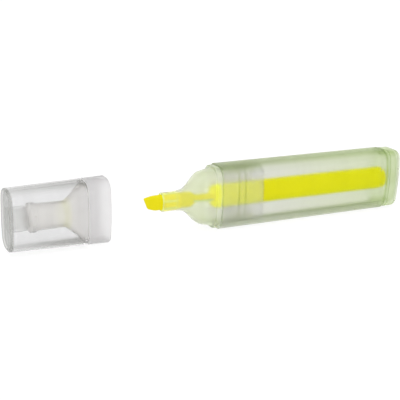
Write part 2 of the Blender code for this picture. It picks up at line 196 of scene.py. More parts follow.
def base_outline(corner_radius):
    """A barrel-sized outline, as (y, z) shares of the barrel's half depth and half width."""
    flat_depth = HALF_DEPTH - CROWN
    centre_y = flat_depth - corner_radius
    centre_z = HALF_WIDTH - corner_radius
    quarters = ((1, 1), (-1, 1), (-1, -1), (1, -1))
    points = []
    for quarter, (side_y, side_z) in enumerate(quarters):
        for step in range(CORNER_STEPS + 1):
            angle = radians(90 * quarter + 90 * step / CORNER_STEPS)
            y = side_y * centre_y + corner_radius * cos(angle)
            z = side_z * centre_z + corner_radius * sin(angle)
            points.append((y, z))
        next_y, next_z = quarters[(quarter + 1) % 4]
        start = points[-1]
        angle = radians(90 * (quarter + 1))
        end_y = next_y * centre_y + corner_radius * cos(angle)
        end_z = next_z * centre_z + corner_radius * sin(angle)
        steps = SIDE_STEPS if quarter % 2 == 0 else FACE_STEPS
        for step in range(1, steps):
            share = step / steps
            y = start[0] + (end_y - start[0]) * share
            z = start[1] + (end_z - start[1]) * share
            points.append((y, z))
    shares = []
    for y, z in points:
        bulge = CROWN * (1 - (z / HALF_WIDTH) ** 2) * y / flat_depth
        shares.append(((y + bulge) / HALF_DEPTH, z / HALF_WIDTH))
    return shares


BASE = base_outline(CORNER_RADIUS)
PLUG_BASE = base_outline(PLUG_CORNER_RADIUS)


def ring(x, half_width, half_depth, roundness=0.0, slant=0.0, base=BASE):
    """One outline across the pen at x. Roundness 1 makes it an ellipse; slant leans its top forward."""
    points = []
    for share_y, share_z in base:
        length = hypot(share_y, share_z)
        y = share_y + (share_y / length - share_y) * roundness
        z = share_z + (share_z / length - share_z) * roundness
        lean = slant * half_width * z
        points.append((x - lean, y * half_depth, AXIS_Z + z * half_width))
    return points


def circle(x, radius):
    return ring(x, radius, radius, 1.0)


def arc(x, inset, radius, start, end):
    """Places (x, inset) round an edge of that radius, between two angles in degrees."""
    places = []
    for step in range(ARC_STEPS + 1):
        angle = radians(start + (end - start) * step / ARC_STEPS)
        places.append((x + radius * cos(angle), inset + radius * sin(angle)))
    return places


def inset_rings(places, half_width, half_depth):
    """Rings of a straight hull, each set in from its outline by the place's inset."""
    return [ring(x, half_width - inset, half_depth - inset) for x, inset in places]


def smooth_step(share):
    share = min(max(share, 0.0), 1.0)
    return share * share * (3 - 2 * share)


def skin(mesh, rings, looped=False):
    """Adds a closed body through the rings: a looped tube, or a chain with both ends filled."""
    rows = [[mesh.verts.new(point) for point in points] for points in rings]
    count = len(rings[0])
    pairs = list(zip(rows, rows[1:]))
    if looped:
        pairs.append((rows[-1], rows[0]))
    for first, second in pairs:
        for here in range(count):
            there = (here + 1) % count
            mesh.faces.new((first[here], first[there], second[there], second[here]))
    if not looped:
        mesh.faces.new(rows[0])
        mesh.faces.new(rows[-1])


def finish(name, mesh, look, sharp=SHARP_ANGLE):
    bmesh.ops.recalc_face_normals(mesh, faces=mesh.faces)
    data = bpy.data.meshes.new(name)
    mesh.to_mesh(data)
    mesh.free()
    data.shade_smooth()
    data.set_sharp_from_angle(angle=radians(sharp))
    data.materials.append(look.material)
    made = bpy.data.objects.new(name, data)
    bpy.context.scene.collection.objects.link(made)
    return made


def loft(name, rings, look, looped=False, sharp=SHARP_ANGLE):
    mesh = bmesh.new()
    skin(mesh, rings, looped)
    return finish(name, mesh, look, sharp)


# ---------------------------------------------------------------- materials

CLOUD_SCALE = 420.0
CLOUD_SHADE = 0.98
CLOUD_BUMP = 0.004
STREAK_STRETCH = (520.0, 60.0, 60.0)
STREAK_SHADE = (0.975, 0.975, 0.975)
STRAND_STRETCH = 90.0
BLOTCH_SCALE = 260.0
STRAND_BUMP = 0.3
BUMP_DEPTH = 0.0001

# A zone is an axis, the place where its shade sets in, the place where it is full, and the shade.
BARREL_PAINTED_SHADING = (
    # Greener towards the rear as painted ink light, and painted shade in the rear edge and in the edge
    # against the collar.
    ("X", REAR_X - 0.055, REAR_X - 0.006, (0.97, 1.0, 0.90)),
    ("X", REAR_X - 0.0007, REAR_X - 0.0002, (0.86, 0.93, 0.78)),
    ("X", RIM_X + 0.0006, RIM_X + 0.0001, (0.78, 0.84, 0.70)),
    # Painted shade in both narrow sides, more so in the lower one, with painted light in its inner corners.
    ("height", 0.0113, 0.0129, (0.70, 0.77, 0.56)),
    ("Z", AXIS_Z + 0.0094, AXIS_Z + 0.0120, (0.91, 0.935, 0.85)),
    ("Z", AXIS_Z - 0.0095, AXIS_Z - 0.0108, (1.06, 1.05, 1.08)),
    ("Z", AXIS_Z - 0.0118, AXIS_Z - 0.0126, (0.47, 0.52, 0.36)),
)
PLUG_ZONES = (
    # The skirt inside the barrel is paler than the body behind it.
    ("X", REAR_X + GAP / 2, REAR_X - GAP, (1.27, 1.19, 1.5)),
    # Painted shade in both narrow sides.
    ("height", 0.0098, 0.0120, (0.76, 0.84, 0.58)),
)
NOSE_ZONES = (
    # The nozzle, then the collar, then the sleeve, each paler than the flare.
    ("X", RIM_X - 0.0160, RIM_X - 0.0172, (1.10, 1.07, 0.88)),
    ("X", RIM_X - COLLAR_LENGTH - GAP, RIM_X - COLLAR_LENGTH, (1.06, 1.06, 1.12)),
    ("X", RIM_X - GAP, RIM_X, (1.10, 1.06, 1.22)),
    # Painted shade in both narrow sides.
    ("height", 0.0092, 0.0120, (0.90, 0.94, 0.84)),
)
SHELL_PAINTED_SHADING = (
    # Painted shade in the thick closed end and in both narrow sides, more so in the lower one.
    ("X", CAP_END_X + CAP_END_WALL, CAP_END_X + CAP_END_WALL / 2, (0.48, 0.485, 0.46)),
    ("height", 0.0105, 0.0119, (0.74, 0.74, 0.73)),
    ("Z", AXIS_Z + 0.0094, AXIS_Z + 0.0112, (0.88, 0.88, 0.87)),
    ("Z", AXIS_Z - 0.0113, AXIS_Z - 0.0120, (0.54, 0.54, 0.51)),
)
LINER_ZONES = (
    # The mouth band is greyer than the cone.
    ("X", CAP_MOUTH_X - CAP_BAND, CAP_MOUTH_X - CAP_BAND + GAP, (0.80, 0.80, 0.815)),
    # Painted shade in both narrow sides.
    ("height", 0.0096, 0.0120, (0.93, 0.93, 0.93)),
)
ROD_GLOW_ZONES = (
    # Painted glow: shaded in its lower half, brighter behind the nose's plastic, less so in front of the
    # rim.
    ("Z", AXIS_Z + 0.0005, AXIS_Z - 0.0030, (0.95, 0.985, 1.0)),
    ("X", NOSE_HIGH.x + GAP, NOSE_HIGH.x, (1.20, 1.28, 1.0)),
    ("X", RIM_X + GAP, RIM_X - GAP, (0.80, 0.75, 1.0)),
)
FELT_GLOW_ZONES = (
    # Painted glow, brighter inside the nozzle.
    ("X", NOSE_LOW.x - 0.0002, NOSE_LOW.x + 0.0010, (1.30, 1.34, 1.0)),
)
# A band is a place along X, its reach to both sides, and the shade.
# Painted shade lines along the sleeve's two ridges.
RIDGE_BANDS = [(RIM_X + place, RIDGE_HALF, (0.70, 0.76, 0.58)) for place in RIDGE_PLACES]
# Painted shade lines at the plug's neck and where its dome starts.
PLUG_LINE = (0.55, 0.64, 0.45)
PLUG_BANDS = (
    (REAR_X + GAP + PLUG_NECK_LENGTH, RIDGE_HALF, PLUG_LINE),
    (PLUG_HIGH.x - PLUG_DOME, RIDGE_HALF, PLUG_LINE),
)
# Ink from the nib has marked the liner where its cone meets its tube.
LINER_BANDS = ((CAP_MOUTH_X - LINER_CONE_END, 0.0020, (0.995, 1.0, 0.88)),)


class Nodes:
    """Short ways to add and join shader nodes in one material."""

    def __init__(self, name):
        self.material = bpy.data.materials.new(name)
        self.material.use_nodes = True
        self.tree = self.material.node_tree
        self.shader = self.tree.nodes["Principled BSDF"]

    def add(self, kind, **inputs):
        node = self.tree.nodes.new(kind)
        for key, value in inputs.items():
            node.inputs[key.replace("_", " ")].default_value = value
        return node

    def join(self, source, target):
        self.tree.links.new(source, target)

    def place(self, scale=(1.0, 1.0, 1.0)):
        """Object coordinates in metres, stretched by scale."""
        coordinates = self.add("ShaderNodeTexCoord")
        mapping = self.add("ShaderNodeMapping", Scale=scale)
        self.join(coordinates.outputs["Object"], mapping.inputs["Vector"])
        return mapping.outputs["Vector"]

    def axis(self, name):
        """One object coordinate in metres: X along the pen, Y through its thin side, Z across its width."""
        coordinates = self.add("ShaderNodeTexCoord")
        parts = self.add("ShaderNodeSeparateXYZ")
        self.join(coordinates.outputs["Object"], parts.inputs["Vector"])
        return parts.outputs[name]

    def math(self, operation, first, second=0.0):
        node = self.tree.nodes.new("ShaderNodeMath")
        node.operation = operation
        for socket, value in zip(node.inputs, (first, second)):
            if isinstance(value, float):
                socket.default_value = value
            else:
                self.join(value, socket)
        return node.outputs["Value"]

    def height(self):
        """Distance above or below the pen's axis."""
        return self.math("ABSOLUTE", self.math("SUBTRACT", self.axis("Z"), AXIS_Z))

    def noise(self, vector, scale, detail=3.0, roughness=0.5):
        node = self.add("ShaderNodeTexNoise", Scale=scale, Detail=detail, Roughness=roughness)
        self.join(vector, node.inputs["Vector"])
        return node.outputs["Fac"]

    def spread(self, value, low, high, to_low, to_high):
        """The value's stretch from low to high, mapped to another stretch and held at its ends."""
        node = self.tree.nodes.new("ShaderNodeMapRange")
        self.join(value, node.inputs["Value"])
        node.inputs["From Min"].default_value = low
        node.inputs["From Max"].default_value = high
        node.inputs["To Min"].default_value = to_low
        node.inputs["To Max"].default_value = to_high
        return node.outputs["Result"]

    def mix(self, factor, first, second, blend="MIX"):
        node = self.tree.nodes.new("ShaderNodeMix")
        node.data_type = "RGBA"
        node.blend_type = blend
        self.join(factor, node.inputs["Factor"])
        for socket, value in ((node.inputs[6], first), (node.inputs[7], second)):
            if isinstance(value, tuple):
                socket.default_value = (*value, 1.0)
            else:
                self.join(value, socket)
        return node.outputs[2]

    def bump(self, height, strength, distance):
        node = self.add("ShaderNodeBump", Strength=strength, Distance=distance)
        self.join(height, node.inputs["Height"])
        self.join(node.outputs["Normal"], self.shader.inputs["Normal"])

    def set(self, **values):
        for key, value in values.items():
            self.shader.inputs[key.replace("_", " ")].default_value = value


def plastic(name, tint, roughness, ior, clearness, zones=(), bands=()):
    """Moulded see-through plastic: cloudy roughness, faint flow marks, painted shade in its edges.

    Each zone multiplies the colour by a shade that sets in between two places along an axis, or between
    two heights off the pen's axis. Each band does so within its reach of one place along the pen.
    Clearness is the transmission, or a place to change it at with the two values on its sides.
    """
    look = Nodes(name)
    along = look.axis("X")
    clouds = look.noise(look.place(), CLOUD_SCALE, detail=4.0, roughness=0.6)
    mottle = look.spread(clouds, 0.35, 0.75, 0.0, 1.0)
    colour = look.mix(mottle, tint, tuple(CLOUD_SHADE * part for part in tint))
    for axis, start, end, shade in zones:
        place = look.height() if axis == "height" else look.axis(axis)
        colour = look.mix(look.spread(place, start, end, 0.0, 1.0), colour, shade, "MULTIPLY")
    for place, reach, shade in bands:
        away = look.math("ABSOLUTE", look.math("SUBTRACT", along, place))
        faded = look.spread(away, reach / 3, reach, 1.0, 0.0)
        colour = look.mix(faded, colour, shade, "MULTIPLY")
    streaks = look.noise(look.place(STREAK_STRETCH), 1.0, detail=2.0)
    colour = look.mix(look.spread(streaks, 0.4, 0.7, 0.0, 1.0), colour, STREAK_SHADE, "MULTIPLY")
    look.join(colour, look.shader.inputs["Base Color"])
    rough = look.spread(clouds, 0.3, 0.7, roughness * 0.9, roughness * 1.1)
    look.join(rough, look.shader.inputs["Roughness"])
    look.bump(clouds, CLOUD_BUMP, BUMP_DEPTH)
    look.set(IOR=ior)
    if isinstance(clearness, float):
        look.set(Transmission_Weight=clearness)
    else:
        place, before, after = clearness
        changed = look.spread(along, place - GAP, place + GAP, before, after)
        look.join(changed, look.shader.inputs["Transmission Weight"])
    return look


def fibre(name, colour, deep_colour, glow, strength, grain, zones):
    """Ink-soaked fibre: long fine strands along the pen, with a painted glow standing in for fluorescence.

    Each zone multiplies the glow by a shade that sets in between two places along an axis.
    """
    look = Nodes(name)
    strands = look.noise(look.place((STRAND_STRETCH, grain, grain)), 1.0, detail=5.0, roughness=0.65)
    blotches = look.noise(look.place(), BLOTCH_SCALE)
    share = look.spread(strands, 0.35, 0.7, 0.0, 1.0)
    base = look.mix(share, deep_colour, colour)
    patch = look.mix(look.spread(blotches, 0.4, 0.7, 0.0, 0.5), base, deep_colour)
    look.join(patch, look.shader.inputs["Base Color"])
    for axis, start, end, shade in zones:
        glow = look.mix(look.spread(look.axis(axis), start, end, 0.0, 1.0), glow, shade, "MULTIPLY")
    look.join(glow, look.shader.inputs["Emission Color"])
    look.join(look.spread(strands, 0.3, 0.7, 0.85, 0.6), look.shader.inputs["Roughness"])
    look.bump(strands, STRAND_BUMP, BUMP_DEPTH)
    look.set(Emission_Strength=strength, Specular_IOR_Level=0.2)
    return look


# ---------------------------------------------------------------- pieces of the pen


def make_barrel(look):
    wall = BARREL_WALL
    edge = BARREL_EDGE
    inner = INNER_EDGE
    places = arc(RIM_X + edge, edge, edge, 180, 270)
    places += arc(REAR_X - edge, edge, edge, 270, 360)
    places += arc(REAR_X - inner, wall - inner, inner, 0, 90)
    places += arc(RIM_X + inner, wall - inner, inner, 90, 180)
    return loft("barrel_tube", inset_rings(places, HALF_WIDTH, HALF_DEPTH), look, looped=True)


def plug_ring(x, inset):
    """The plug's outside, a little squarer than the barrel, set in by the inset."""
    width = HALF_WIDTH - PLUG_INSET - inset
    depth = HALF_DEPTH - PLUG_INSET - inset
    return ring(x, width, depth, base=PLUG_BASE)


def make_rear_plug(look):
    start = REAR_X + GAP
    neck_end = start + PLUG_NECK_LENGTH
    end = PLUG_HIGH.x
    straight_end = end - PLUG_DOME
    edge_radius = PLUG_DOME - PLUG_CROWN
    floor = straight_end + edge_radius - PLUG_WALL
    skirt_width = HALF_WIDTH - BARREL_WALL - GAP
    skirt_depth = HALF_DEPTH - BARREL_WALL - GAP
    skirt_front = PLUG_LOW.x
    hollow_width = skirt_width - SKIRT_WALL
    hollow_depth = skirt_depth - SKIRT_WALL
    rings = [circle(end, PLUG_CROWN_RADIUS)]
    for step in range(DOME_STEPS + 1):
        angle = radians(90 - 90 * step / DOME_STEPS)
        rings.append(plug_ring(straight_end + edge_radius * sin(angle), edge_radius * (1 - cos(angle))))
    edge = SMALL_EDGE
    rings += [
        plug_ring(neck_end, 0.0),
        plug_ring(neck_end - edge, PLUG_NECK_STEP - edge / 2),
        plug_ring(neck_end - edge * 1.5, PLUG_NECK_STEP),
        plug_ring(start + edge, PLUG_NECK_STEP),
        plug_ring(start, PLUG_NECK_STEP + edge),
        ring(start, skirt_width, skirt_depth),
        ring(skirt_front + edge, skirt_width, skirt_depth),
        ring(skirt_front, skirt_width - edge, skirt_depth - edge),
        ring(skirt_front, hollow_width, hollow_depth),
    ]
    fillet = arc(floor - PLUG_FILLET, PLUG_FILLET, PLUG_FILLET, 270, 360)
    rings += inset_rings(fillet, hollow_width, hollow_depth)
    return loft("rear_plug_body", rings, look)


def make_plug_stop(look):
    """The short tube on the plug's inside that keeps the ink reservoir from sliding back."""
    rear = PLUG_HIGH.x - PLUG_CROWN - PLUG_WALL - TOUCH
    edge = SMALL_EDGE
    bore = STOP_RADIUS - STOP_WALL
    rings = [
        circle(rear, STOP_RADIUS),
        circle(STOP_FRONT + edge, STOP_RADIUS),
        circle(STOP_FRONT, STOP_RADIUS - edge),
        circle(STOP_FRONT, bore + edge),
        circle(STOP_FRONT + edge, bore),
        circle(rear, bore),
    ]
    return loft("rear_plug_stop", rings, look, looped=True)


def flare_stations():
    """Distance from the rim, half width, half depth and roundness, from nozzle to shoulder."""
    shoulder_width = HALF_WIDTH - COLLAR_STEP - SHOULDER_STEP
    shoulder_depth = HALF_DEPTH - COLLAR_STEP - SHOULDER_STEP
    stations = []
    for step in range(FLARE_STEPS + 1):
        share = step / FLARE_STEPS
        swell = smooth_step((share - FLARE_SWELL_START) / FLARE_SWELL_SPAN)
        steady = share**FLARE_RISE_POWER
        rise = steady + (swell - steady) * FLARE_SWELL_SHARE
        width = NOZZLE_RADIUS + (shoulder_width - NOZZLE_RADIUS) * rise
        depth = NOZZLE_RADIUS + (shoulder_depth - NOZZLE_RADIUS) * rise**FLARE_DEPTH_POWER
        distance = FLARE_START + (COLLAR_LENGTH - FLARE_START) * share
        stations.append((distance, width, depth, 1 - smooth_step(rise)))
    return stations


def make_front_section(look):
    stations = flare_stations()
    collar_width = HALF_WIDTH - COLLAR_STEP
    collar_depth = HALF_DEPTH - COLLAR_STEP
    sleeve_width = HALF_WIDTH - BARREL_WALL - GAP - RIDGE_HEIGHT
    sleeve_depth = HALF_DEPTH - BARREL_WALL - GAP - RIDGE_HEIGHT
    bore_width = NIB_HALF_WIDTH + GAP
    bore_depth = NIB_HALF_DEPTH + GAP
    tip = NOSE_LOW.x
    lip = NOZZLE_LIP
    rings = [circle(x, NOZZLE_RADIUS - inset) for x, inset in arc(tip + lip, lip, lip, 180, 270)]
    for distance, width, depth, roundness in stations:
        rings.append(ring(RIM_X - distance, width, depth, roundness))
    collar_x = RIM_X - COLLAR_LENGTH
    edge = SMALL_EDGE
    rings += inset_rings(arc(collar_x + edge, edge, edge, 180, 270), collar_width, collar_depth)
    rings += [
        ring(RIM_X - GAP, collar_width, collar_depth),
        ring(RIM_X - GAP, sleeve_width, sleeve_depth),
    ]
    for place in RIDGE_PLACES:
        for share, lift in RIDGE_PROFILE:
            x = RIM_X + place + RIDGE_HALF * share
            rings.append(ring(x, sleeve_width + lift, sleeve_depth + lift))
    inner_width = sleeve_width - SLEEVE_WALL
    inner_depth = sleeve_depth - SLEEVE_WALL
    sleeve_end = NOSE_HIGH.x
    rings += [
        ring(sleeve_end, sleeve_width, sleeve_depth),
        ring(sleeve_end, inner_width, inner_depth),
        ring(collar_x, inner_width - SOCKET_TAPER, inner_depth - SOCKET_TAPER / 2),
    ]
    hollow = stations[SOLID_NOZZLE_STATIONS:-SOLID_SHOULDER_STATIONS]
    for distance, width, depth, roundness in reversed(hollow):
        rings.append(ring(RIM_X - distance, width - NOSE_WALL, depth - NOSE_WALL, roundness))
    swollen = (bore_width + NOZZLE_BORE_SWELL, bore_depth + NOZZLE_BORE_SWELL, NIB_ROUNDNESS)
    rings += [
        ring(RIM_X - BORE_END, *swollen),
        ring(RIM_X - SPLINE_FRONT, *swollen),
        ring(tip, bore_width, bore_depth, NIB_ROUNDNESS),
    ]
    return loft("front_section_shell", rings, look, looped=True)


def bore_outline(x, lift, angles):
    """Points of the nib's outline grown by the lift, at angles turned from the near side upwards."""
    points = ring(x, NIB_HALF_WIDTH + lift, NIB_HALF_DEPTH + lift, NIB_ROUNDNESS)
    known = [degrees(atan2(z - AXIS_Z, -y)) for _, y, z in points]
    places = range(len(points))
    found = []
    for wanted in angles:
        offsets = [(angle - wanted + 180) % 360 - 180 for angle in known]
        after = min((place for place in places if offsets[place] >= 0), key=offsets.__getitem__)
        before = max((place for place in places if offsets[place] < 0), key=offsets.__getitem__)
        share = -offsets[before] / (offsets[after] - offsets[before])
        found.append(Vector(points[before]).lerp(Vector(points[after]), share))
    return found


def make_nozzle_splines(look):
    """Six fine splines that hold the nib in the nozzle's bore, between a lip ring and a stop ring."""
    mesh = bmesh.new()
    tip = NOSE_LOW.x
    front = RIM_X - SPLINE_FRONT
    rear = RIM_X - BORE_END
    low = SPLINE_CLEARANCE
    high = SPLINE_CLEARANCE + SPLINE_THICKNESS
    for number in range(SPLINE_COUNT):
        middle = SPLINE_FIRST_ANGLE + 360 * number / SPLINE_COUNT
        turns = [SPLINE_HALF_ANGLE * (2 * step / SPLINE_STEPS - 1) for step in range(SPLINE_STEPS + 1)]
        angles = [middle + turn for turn in turns]
        sections = []
        for x in (front, rear - SPLINE_THICKNESS):
            sections.append(bore_outline(x, low, angles) + bore_outline(x, high, reversed(angles)))
        skin(mesh, sections)
    for start, end in ((tip + SMALL_EDGE, tip + SMALL_EDGE + LIP_RING), (rear, rear + LIP_RING)):
        corners = ((start, high), (end, high), (end, low), (start, low))
        rings = []
        for x, lift in corners:
            rings.append(ring(x, NIB_HALF_WIDTH + lift, NIB_HALF_DEPTH + lift, NIB_ROUNDNESS))
        skin(mesh, rings, looped=True)
    return finish("nozzle_splines", mesh, look)


def make_nose_ribs(look):
    """One low rib along the inside of each wide wall of the nose."""
    mesh = bmesh.new()
    inside = [station for station in flare_stations() if RIB_BACK <= station[0] <= RIB_FRONT]
    for side in (-1, 1):
        sections = []
        for distance, _, depth, _ in inside:
            wall = depth - NOSE_WALL - SPLINE_CLEARANCE
            low = wall - RIB_HEIGHT * min(1.0, (RIB_FRONT - distance) / RIB_HEIGHT + RIB_LOWEST_SHARE)
            corners = ((wall, -1), (low, -RIB_CREST_SHARE), (low, RIB_CREST_SHARE), (wall, 1))
            x = RIM_X - distance
            sections.append([(x, side * y, AXIS_Z + RIB_HALF_THICKNESS * z) for y, z in corners])
        skin(mesh, sections)
    return finish("nose_ribs", mesh, look)


def make_nib(look):
    """Slanted chisel with a softened edge, the swelling felt body and the thin tail behind it."""
    tip = RIM_X - NIB_TIP
    shoulder = RIM_X - NIB_SHOULDER
    tail_end = NIB_HIGH.x
    rings = []
    for step in range(ARC_STEPS):
        angle = radians(90 * step / ARC_STEPS)
        inset = CHISEL_EDGE * (1 - sin(angle))
        x = tip + CHISEL_EDGE * (1 - cos(angle))
        width = CHISEL_HALF_WIDTH - inset
        depth = CHISEL_HALF_THICKNESS - inset
        rings.append(ring(x, width, depth, CHISEL_ROUNDNESS, CHISEL_SLANT))
    for step in range(CHISEL_STEPS + 1):
        share = step / CHISEL_STEPS
        swell = sin(radians(90 * share))
        width = CHISEL_HALF_WIDTH + (NIB_HALF_WIDTH - CHISEL_HALF_WIDTH) * swell
        depth = CHISEL_HALF_THICKNESS + (NIB_HALF_DEPTH - CHISEL_HALF_THICKNESS) * share
        roundness = CHISEL_ROUNDNESS + (NIB_ROUNDNESS - CHISEL_ROUNDNESS) * share
        x = tip + CHISEL_EDGE + (CHISEL_LENGTH - CHISEL_EDGE) * share
        rings.append(ring(x, width, depth, roundness, CHISEL_SLANT * (1 - share)))
    swollen = (NIB_HALF_WIDTH + FELT_SWELL, NIB_HALF_DEPTH + FELT_SWELL, NIB_ROUNDNESS)
    rings += [
        ring(NOSE_LOW.x + NOZZLE_LIP, NIB_HALF_WIDTH, NIB_HALF_DEPTH, NIB_ROUNDNESS),
        ring(RIM_X - SPLINE_FRONT, *swollen),
        ring(RIM_X - BORE_END, *swollen),
        ring(RIM_X - BORE_END + NOZZLE_LIP, NIB_HALF_WIDTH, NIB_HALF_DEPTH, NIB_ROUNDNESS),
        ring(shoulder, NIB_HALF_WIDTH, NIB_HALF_DEPTH, NIB_ROUNDNESS),
        circle(shoulder + NIB_SHOULDER_LENGTH, NIB_TAIL_RADIUS),
        circle(tail_end - INNER_EDGE, NIB_TAIL_RADIUS),
        circle(tail_end, NIB_TAIL_RADIUS - INNER_EDGE),
    ]
    return loft("nib_felt", rings, look, sharp=FELT_SHARP_ANGLE)


def make_reservoir(look):
    front = ROD_LOW.x
    rear = ROD_HIGH.x
    bore = NIB_TAIL_RADIUS + GAP
    edge = ROD_EDGE
    rings = [circle(front + ROD_BORE_DEPTH, bore), circle(front, bore)]
    rings += [circle(x, ROD_RADIUS - inset) for x, inset in arc(front + edge, edge, edge, 180, 270)]
    rings += [circle(x, ROD_RADIUS - inset) for x, inset in arc(rear - edge, edge, edge, 270, 360)]
    return loft("ink_rod", rings, look)


def make_film(look):
    front = FILM_LOW.x
    rear = FILM_HIGH.x
    inner = FILM_RADIUS - FILM_THICKNESS
    rings = [
        circle(front, FILM_RADIUS),
        circle(rear, FILM_RADIUS),
        circle(rear, inner),
        circle(front, inner),
    ]
    return loft("rod_film", rings, look, looped=True)


# ---------------------------------------------------------------- pieces of the cap


def cap_size(depth_in):
    """Half width and half depth of the cap's outside at a distance in from its mouth."""
    share = depth_in / CAP_LENGTH
    width = CAP_MOUTH_HALF_WIDTH + (CAP_END_HALF_WIDTH - CAP_MOUTH_HALF_WIDTH) * share
    depth = CAP_MOUTH_HALF_DEPTH + (CAP_END_HALF_DEPTH - CAP_MOUTH_HALF_DEPTH) * share
    return width, depth


def cap_ring(depth_in, inset):
    width, depth = cap_size(depth_in)
    return ring(CAP_MOUTH_X - depth_in, width - inset, depth - inset)


def cap_arc(depth_in, inset, radius, start, end):
    """Rings round an edge of the cap. Angles turn from the mouth's side towards the closed end."""
    return [cap_ring(place, depth) for place, depth in arc(depth_in, inset, radius, start, end)]


def make_cap_shell(look):
    floor_in = CAP_LENGTH - CAP_END_WALL
    floor_x = CAP_MOUTH_X - floor_in
    edge = CAP_EDGE
    fillet = CAP_FILLET
    rings = [circle(floor_x, GATE_RADIUS)]
    rings += cap_arc(floor_in - fillet, CAP_WALL + fillet, fillet, 0, -90)
    rings.append(cap_ring(CAP_BAND, CAP_WALL))
    rings += cap_arc(CAP_BAND + edge, edge, edge, 180, 270)
    rings += cap_arc(CAP_LENGTH - CAP_END_EDGE, CAP_END_EDGE, CAP_END_EDGE, 270, 360)
    rings += [
        circle(CAP_END_X, GATE_RADIUS),
        circle(CAP_END_X + GATE_DEPTH, GATE_RADIUS - GATE_TAPER),
    ]
    return loft("cap_shell_clear", rings, look)


def make_cap_boss(look):
    """The tube on the closed end's inside that the liner's end sits in."""
    floor_x = CAP_END_X + CAP_END_WALL + TOUCH
    front = floor_x + BOSS_LENGTH
    edge = CAP_EDGE
    bore = BOSS_RADIUS - BOSS_WALL
    rings = [
        circle(floor_x, bore),
        circle(front - edge, bore),
        circle(front, bore + edge),
        circle(front, BOSS_RADIUS - edge),
        circle(front - edge, BOSS_RADIUS),
        circle(floor_x, BOSS_RADIUS),
    ]
    return loft("cap_shell_boss", rings, look, looped=True)


def notched_circle(x):
    """The flange's outline where a notch is cut into its near and its far side."""
    points = []
    for x, y, z in circle(x, FLANGE_RADIUS):
        if abs(z - AXIS_Z) < NOTCH_HALF_HEIGHT:
            y *= 1 - NOTCH_DEPTH / abs(y)
        points.append((x, y, z))
    return points


def make_cap_liner(look):
    band_back = CAP_BAND - GAP
    spigot_inset = CAP_WALL + GAP
    spigot_width, spigot_depth = cap_size(CAP_BAND)
    spigot_width -= spigot_inset
    spigot_depth -= spigot_inset
    cone_start = CAP_BAND + LINER_STEP
    inner_radius = LINER_TUBE_RADIUS - LINER_WALL
    flange_end = LINER_DEPTH - FLANGE_SETBACK
    flange_start = flange_end - FLANGE_LENGTH
    notch_x = CAP_MOUTH_X - (flange_start + flange_end) / 2
    outer = []
    inner = []
    for step in range(1, CONE_STEPS + 1):
        share = step / CONE_STEPS
        ease = 1 - share**LINER_CONE_POWER
        width = LINER_TUBE_RADIUS + (spigot_width - LINER_TUBE_RADIUS) * ease
        depth = LINER_TUBE_RADIUS + (spigot_depth - LINER_TUBE_RADIUS) * ease
        x = CAP_MOUTH_X - cone_start - (LINER_CONE_END - cone_start) * share
        roundness = smooth_step(share)
        outer.append(ring(x, width, depth, roundness))
        inner.append(ring(x, width - LINER_WALL, depth - LINER_WALL, roundness))
    cone_x = CAP_MOUTH_X - cone_start
    edge = CAP_EDGE
    rings = [
        circle(CAP_MOUTH_X - LINER_DEPTH - LINER_WALL, BOSS_RADIUS - GAP),
        circle(CAP_MOUTH_X - flange_end - LINER_WALL, BOSS_RADIUS),
        circle(CAP_MOUTH_X - flange_end, FLANGE_RADIUS),
        circle(notch_x - NOTCH_LENGTH / 2 - INNER_EDGE, FLANGE_RADIUS),
        notched_circle(notch_x - NOTCH_LENGTH / 2),
        notched_circle(notch_x + NOTCH_LENGTH / 2),
        circle(notch_x + NOTCH_LENGTH / 2 + INNER_EDGE, FLANGE_RADIUS),
        circle(CAP_MOUTH_X - flange_start, FLANGE_RADIUS),
        circle(CAP_MOUTH_X - flange_start + FLANGE_TAPER, LINER_TUBE_RADIUS),
    ]
    rings += reversed(outer)
    rings += [
        ring(cone_x, spigot_width, spigot_depth),
        ring(CAP_MOUTH_X - band_back, spigot_width, spigot_depth),
    ]
    rings += cap_arc(band_back - edge, edge, edge, 0, -90)
    rings += cap_arc(edge, edge, edge, -90, -180)
    rings += [
        cap_ring(0.0, LINER_WALL),
        cap_ring(band_back - BAND_STEP, LINER_WALL),
        ring(cone_x, spigot_width - LINER_WALL, spigot_depth - LINER_WALL),
    ]
    rings += inner
    rings.append(circle(CAP_MOUTH_X - LINER_DEPTH, inner_radius))
    return loft("cap_liner_frosted", rings, look)


# ---------------------------------------------------------------- stage

FLOOR_HALF_SIZE = 3.0
FLOOR_TONES = ((0.12, 0.12, 0.12), (0.14, 0.14, 0.14))
FLOOR_GLOW = 0.89
WHITE = (1.0, 1.0, 1.0, 1.0)
WORLD_GLOW = 1.04
KEY_PLACE = (-0.33, -0.18, 0.56)
KEY_SIZE = 0.35
KEY_POWER = 1.3
CAMERA_TURN = radians(-26.95)
CAMERA_LIFT = radians(16.98)
CAMERA_ROLL = radians(1.70)
CAMERA_DISTANCE = 0.3466
CAMERA_TARGET = Vector((RIM_X - 0.0067, 0.0, AXIS_Z - 0.00095))
SENSOR_WIDTH = 36.0
LENS = 78.98


def make_floor():
    mesh = bmesh.new()
    bmesh.ops.create_grid(mesh, x_segments=1, y_segments=1, size=FLOOR_HALF_SIZE)
    data = bpy.data.meshes.new("floor")
    mesh.to_mesh(data)
    mesh.free()
    look = Nodes("pale_floor")
    grain = look.noise(look.place(), 900.0, detail=2.0)
    tone = look.mix(look.spread(grain, 0.3, 0.7, 0.0, 1.0), *FLOOR_TONES)
    look.join(tone, look.shader.inputs["Base Color"])
    look.set(Roughness=0.9, Specular_IOR_Level=0.1)
    look.set(Emission_Color=WHITE, Emission_Strength=FLOOR_GLOW)
    data.materials.append(look.material)
    floor = bpy.data.objects.new("floor", data)
    bpy.context.scene.collection.objects.link(floor)


